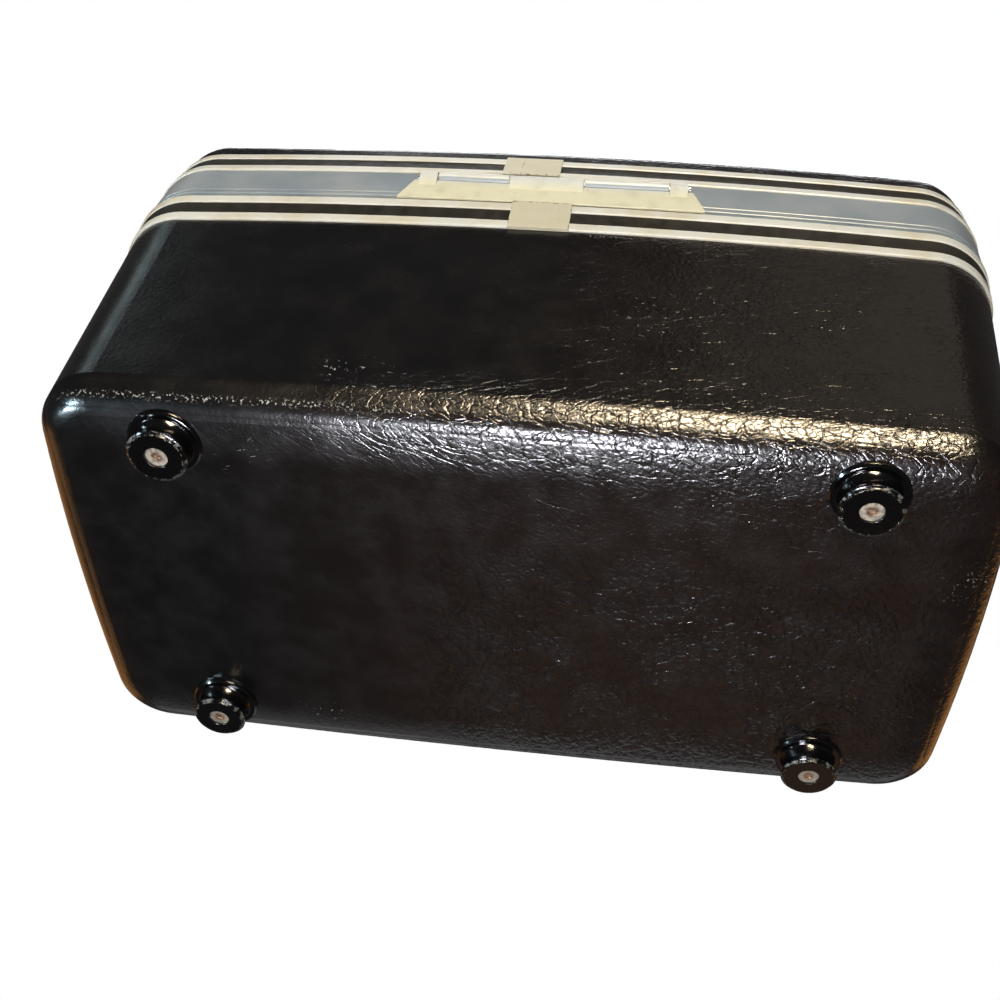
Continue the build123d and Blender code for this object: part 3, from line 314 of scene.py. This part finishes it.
def band_finish():
    """Blue-grey enamel on rolled sheet, with fine scratches along the band."""
    band = Finish("band_metal", Metallic=0.15, Specular_IOR_Level=0.5)
    band.soft_edges(radius=0.3)
    cloud = band.noise(30, detail=3.0)
    color = band.blend(band.span(cloud, 0.35, 0.65), srgb(150, 158, 160), srgb(166, 170, 168))
    scratch = band.noise(0.5, band.stretched(0.03, 0.03, 1.0), detail=3.0)
    worn = band.span(scratch, 0.63, 0.72)
    color = band.blend(band.math("MULTIPLY", worn, 0.35), color, srgb(196, 198, 194))
    band.relief(scratch, depth=0.02)
    band.relief(band.noise(18, detail=1.0), depth=0.12)
    return band.done(color, band.span(cloud, 0.3, 0.7, 0.3, 0.42))


def clip_finish():
    """Sheet clip in a tanner cream, chipped to brown along its bends."""
    clip = Finish("clip_tan", Specular_IOR_Level=0.45)
    clip.soft_edges(radius=0.3)
    color = clip.blend(clip.noise(7, detail=4.0), srgb(212, 200, 164), srgb(222, 211, 180))
    bends = [clip.near("Z", bend, reach=0.9) for bend in (TUB_CLIP_BEND_Z, LID_CLIP_BEND_Z)]
    ends = [clip.near("X", end, reach=0.6) for end in (TUB_CLIP_END_X, LID_CLIP_END_X)]
    edge = clip.math("MULTIPLY", clip.any_of(*bends, *ends), 0.14)
    fleck = clip.math("ADD", clip.noise(1.3, detail=4.0, rough=0.65), edge)
    chips = clip.span(fleck, 0.66, 0.71)
    color = clip.blend(chips, color, srgb(122, 94, 58))
    clip.relief(chips, depth=-0.06)
    clip.relief(clip.noise(5, detail=1.0), depth=0.08)
    return clip.done(color, clip.span(clip.noise(5), 0.3, 0.7, 0.32, 0.5))


def hinge_finish(name, knuckle=False):
    """Cream enamel over cast metal, yellower below; the knuckles carry painted grey shade
    underneath.
    """
    hinge = Finish(name, Specular_IOR_Level=0.5)
    hinge.soft_edges(radius=0.4)
    upper = hinge.along("Z", 150.5, 157.0)
    color = hinge.blend(upper, srgb(240, 230, 192), srgb(228, 225, 209))
    stain = hinge.span(hinge.noise(9, detail=4.0), 0.45, 0.75)
    color = hinge.blend(hinge.math("MULTIPLY", stain, 0.4), color, srgb(202, 188, 150))
    if knuckle:
        # Painted shade: grey-blue below the knuckles' rounds
        under = hinge.along("Z", KNUCKLE_SHADE_Z, KNUCKLE_SHADE_Z - 0.4)
        color = hinge.blend(hinge.math("MULTIPLY", under, 0.85), color, srgb(150, 158, 160))
    chips = hinge.span(hinge.noise(1.5, detail=4.0, rough=0.65), 0.69, 0.72)
    color = hinge.blend(chips, color, srgb(112, 90, 60))
    hinge.relief(chips, depth=-0.08)
    hinge.relief(hinge.noise(6, detail=2.0), depth=0.12)
    return hinge.done(color, hinge.span(hinge.noise(4), 0.3, 0.7, 0.28, 0.45))


def foot_finish():
    """Gloss black stud, scuffed grey round the rim that meets the floor."""
    foot = Finish("foot_black", Specular_IOR_Level=0.5)
    foot.soft_edges(radius=0.4)
    low = foot.along("Z", FOOT_RIM_Z, FOOT_RIM_Z + 1.0, 1.0, 0.0)
    outer = foot.span(foot.foot_radius(), FOOT_RIM_RADIUS, FOOT_RIM_RADIUS + 1.1)
    scuff = foot.span(foot.noise(3.4, detail=5.0, rough=0.7), 0.5, 0.6)
    worn = foot.all_of(low, outer, scuff)
    color = foot.blend(foot.math("MULTIPLY", worn, 0.8), srgb(7, 7, 8), srgb(112, 112, 100))
    foot.relief(foot.math("MULTIPLY", worn, foot.noise(0.7)), depth=0.2)
    foot.relief(foot.noise(4.0, detail=2.0), depth=0.05)
    return foot.done(color, foot.span(worn, 0.0, 1.0, 0.12, 0.5))


def metal_finish(name, color, tint, rough_low, rough_high):
    """Metal with cloudy tarnish and fine scratches."""
    metal = Finish(name, Metallic=1.0)
    metal.soft_edges(radius=0.25)
    tarnish = metal.span(metal.noise(3.2, detail=4.0), 0.4, 0.7)
    shade = metal.blend(tarnish, color, tint)
    scratch = metal.noise(0.4, metal.stretched(1.0, 1.0, 0.12), detail=2.0)
    metal.relief(scratch, depth=0.015)
    return metal.done(shade, metal.span(tarnish, 0.0, 1.0, rough_low, rough_high))


def rivet_finish():
    """Tubular rivet head: pale worn ring round a darker brown middle."""
    rivet = Finish("rivet_metal", Metallic=0.6)
    rivet.soft_edges(radius=0.3)
    # Darker brown in the hollow middle
    middle = rivet.span(rivet.foot_radius(), 1.5, 2.7, 1.0, 0.0)
    dirt = rivet.span(rivet.noise(1.4, detail=4.0), 0.35, 0.65)
    ring = rivet.blend(dirt, srgb(214, 206, 190), srgb(178, 164, 142))
    color = rivet.blend(middle, ring, srgb(150, 122, 98))
    rivet.relief(rivet.noise(0.9, detail=2.0), depth=0.05)
    return rivet.done(color, rivet.span(dirt, 0.0, 1.0, 0.3, 0.5))


def lining_finish():
    """Plain-woven lining cloth glued to board."""
    cloth = Finish("lining_cloth", Specular_IOR_Level=0.2, Sheen_Weight=0.3, Sheen_Roughness=0.5)
    pitch = 0.9
    threads = []
    for letter in "XYZ":
        phase = cloth.math("MULTIPLY", cloth.axis(letter), 2 * math.pi / pitch)
        threads.append(cloth.math("SINE", phase))
    weave = cloth.math("MULTIPLY", threads[0], threads[1])
    weave = cloth.math("ADD", weave, cloth.math("MULTIPLY", threads[2], threads[0]))
    weave = cloth.math("ADD", weave, cloth.math("MULTIPLY", threads[2], threads[1]))
    cloth.relief(weave, depth=0.12)
    stain = cloth.span(cloth.noise(60, detail=4.0), 0.4, 0.8)
    color = cloth.blend(stain, srgb(178, 164, 144), srgb(160, 144, 122))
    color = cloth.blend(cloth.span(weave, -1.0, 1.0, 0.0, 0.25), color, srgb(206, 194, 172))
    return cloth.done(color, cloth.span(cloth.noise(3), 0.3, 0.7, 0.8, 0.95))


STEEL, STEEL_TARNISH = srgb(186, 188, 190), srgb(130, 126, 118)
NICKEL, NICKEL_TARNISH = srgb(204, 208, 214), srgb(188, 191, 196)
FINISHES = {
    "shell_hide": hide_finish("shell_hide"),
    "grip_hide": hide_finish("grip_hide", wrinkle=0.6, scuffed=False),
    "trim_cream": trim_finish(),
    "stripe_dark": stripe_finish(),
    "band_metal": band_finish(),
    "clip_tan": clip_finish(),
    "hinge_enamel": hinge_finish("hinge_enamel"),
    "foot_black": foot_finish(),
    "rivet_metal": rivet_finish(),
    "bare_steel": metal_finish("bare_steel", STEEL, STEEL_TARNISH, 0.22, 0.4),
    "latch_nickel": metal_finish("latch_nickel", NICKEL, NICKEL_TARNISH, 0.22, 0.3),
    "lining_cloth": lining_finish(),
}

# Nodes whose finish differs from the rest of their slot
OWN_FINISHES = {
    "hinge_lid_leaf": hinge_finish("hinge_knuckles", knuckle=True),
    "lid_shell": hide_finish("lid_hide", wrinkle=0.5, scuffed=False),
}


def dress_nodes():
    """Gives each CAD node its finish."""
    for part in frame["record"]["subparts"]:
        name = part["node"]
        finish = OWN_FINISHES.get(name, FINISHES[part["material_slot"]])
        for slot in frame["nodes"][name].material_slots:
            slot.material = finish


# Colours of light, and points of the case that lights are turned to, in metres
WARM = (1.0, 0.8, 0.54)
COOL = (0.9, 0.91, 1.0)
AMBER = (1.0, 0.42, 0.09)
RUST = (1.0, 0.5, 0.28)
CREAM = (1.0, 0.85, 0.7)
SKY = (0.66, 0.88, 1.0)
PALE_SKY = (0.8, 0.98, 1.0)
PLAIN = (0.97, 0.985, 1.0)
LOWER_EDGE = (0, 0.08, 0.015)
LOWER_CORNER = (0.15, 0.08, 0.01)
UPPER_CORNER = (0.15, 0.08, 0.05)
FLOOR_MIDDLE = (-0.05, 0, 0)
HEART = (0, 0, 0.1)


def add_area(name, place, target, size, power, color, roll=0.0):
    """Soft rectangular light, turned to a target and rolled by degrees; in metres and watts."""
    data = bpy.data.lights.new(name, "AREA")
    data.shape = "RECTANGLE"
    data.size, data.size_y = size
    data.energy = power
    data.color = color
    light = bpy.data.objects.new(name, data)
    light.location = place
    aim = Vector(target) - Vector(place)
    turn = aim.to_track_quat("-Z", "Y") @ Quaternion((0, 0, 1), math.radians(roll))
    light.rotation_euler = turn.to_euler()
    scene.collection.objects.link(light)
    return light


def add_reflection(*area):
    """Light that shows in gloss alone, as a window or lamp mirrored in the hide."""
    add_area(*area).visible_diffuse = False


def add_reflections():
    """What the hide mirrors: lamps over the hinge side, windows, a warm table and room."""
    add_reflection("lamp_warm", (-0.24, 1.18, -0.04), LOWER_EDGE, (0.43, 0.31), 37, WARM, 33)
    add_reflection("lamp_far", (0.03, 1.18, -0.28), LOWER_EDGE, (0.4, 0.2), 1.3, WARM, 33)
    add_reflection("window_cool", (0.04, 0.07, -1.0), LOWER_EDGE, (0.36, 0.13), 28, COOL)
    add_reflection("window_side", (1.0, 0.27, -0.72), LOWER_CORNER, (0.16, 0.2), 18, SKY)
    add_reflection("window_tall", (0.8, 0.57, 0.82), UPPER_CORNER, (0.22, 0.4), 0.35, PALE_SKY)
    add_reflection("table_right", (-0.93, -0.95, 0.22), HEART, (0.45, 0.8), 1.0, AMBER)
    add_reflection("table_left", (1.0, -0.7, 0.2), HEART, (0.8, 1.0), 1.7, AMBER)
    add_reflection("room", (-0.15, -0.95, -0.8), FLOOR_MIDDLE, (0.7, 0.4), 0.22, RUST)
    add_reflection("card_front", (0.0, -1.3, -0.15), HEART, (1.5, 0.6), 1.3, PLAIN)


def add_fill():
    """Soft light that models the forms; the one at the rear leaves no mirror image."""
    add_area("ceiling", (-0.55, 1.1, 1.35), HEART, (0.8, 0.6), 0.5, CREAM)
    rear = add_area("rear_fill", (0.1, 1.2, -0.5), (0, 0.05, 0.1), (1.0, 1.0), 20, PLAIN)
    rear.visible_glossy = False
    add_area("top_soft", (0.1, -0.3, 1.6), (0, 0, 0.15), (1.2, 1.2), 22, PLAIN)
    add_area("front_soft", (0.5, -1.4, 1.3), HEART, (0.8, 0.6), 16, PLAIN)


def make_world():
    """Pale surroundings: white to the eye, dimmer as light."""
    world = bpy.data.worlds.new("studio")
    world.use_nodes = True
    tree = world.node_tree
    shown = tree.nodes["Background"]
    shown.inputs["Color"].default_value = (1, 1, 1, 1)
    shown.inputs["Strength"].default_value = 1.0
    dim = tree.nodes.new("ShaderNodeBackground")
    dim.inputs["Color"].default_value = (1.0, 0.92, 0.9, 1)
    dim.inputs["Strength"].default_value = 0.065
    ray = tree.nodes.new("ShaderNodeLightPath")
    mix = tree.nodes.new("ShaderNodeMixShader")
    tree.links.new(ray.outputs["Is Camera Ray"], mix.inputs[0])
    tree.links.new(dim.outputs[0], mix.inputs[1])
    tree.links.new(shown.outputs[0], mix.inputs[2])
    tree.links.new(mix.outputs[0], tree.nodes["World Output"].inputs["Surface"])
    scene.world = world


def make_floor():
    """Pale floor under the feet, seen from above only, so that it hides nothing from below."""
    half = 2.5
    mesh = bpy.data.meshes.new("floor")
    corners = [(-half, -half, 0), (half, -half, 0), (half, half, 0), (-half, half, 0)]
    mesh.from_pydata(corners, [], [(0, 1, 2, 3)])
    floor = bpy.data.objects.new("floor", mesh)
    scene.collection.objects.link(floor)
    paint = Finish("floor_pale", Roughness=0.75, Specular_IOR_Level=0.0)
    paint.shader.inputs["Emission Color"].default_value = (1, 1, 1, 1)
    paint.shader.inputs["Emission Strength"].default_value = 0.3
    paint.done(paint.blend(paint.noise(240), srgb(238, 237, 234), srgb(228, 227, 224)))
    underside = paint.add("NewGeometry").outputs["Backfacing"]
    clear = paint.add("BsdfTransparent").outputs[0]
    mix = paint.add("MixShader", {0: underside, 1: paint.shader.outputs[0], 2: clear})
    paint.tree.links.new(mix.outputs[0], paint.tree.nodes["Material Output"].inputs["Surface"])
    mesh.materials.append(paint.material)
    floor.visible_shadow = False
    floor.visible_glossy = False
    floor.visible_diffuse = False


def make_camera():
    """The photograph's view: from below and behind, with the bottom and hinge side in sight."""
    place = Vector((-44.06, 319.63, -306.73)) * MM
    forward = Vector((0.1111, -0.64118, 0.7593)).normalized()
    upward = Vector((0.0776, 0.7673, 0.63658))
    right = forward.cross(upward).normalized()
    up = right.cross(forward)
    data = bpy.data.cameras.new("camera")
    data.sensor_width = 36.0
    data.lens = 44.04
    data.clip_start = 0.01
    camera = bpy.data.objects.new("camera", data)
    turn = Matrix((right, up, -forward)).transposed().to_4x4()
    camera.matrix_world = Matrix.Translation(place) @ turn
    scene.collection.objects.link(camera)
    scene.camera = camera


make_camera()
make_world()
add_reflections()
add_fill()
make_floor()
dress_nodes()
scene.view_settings.view_transform = "Standard"
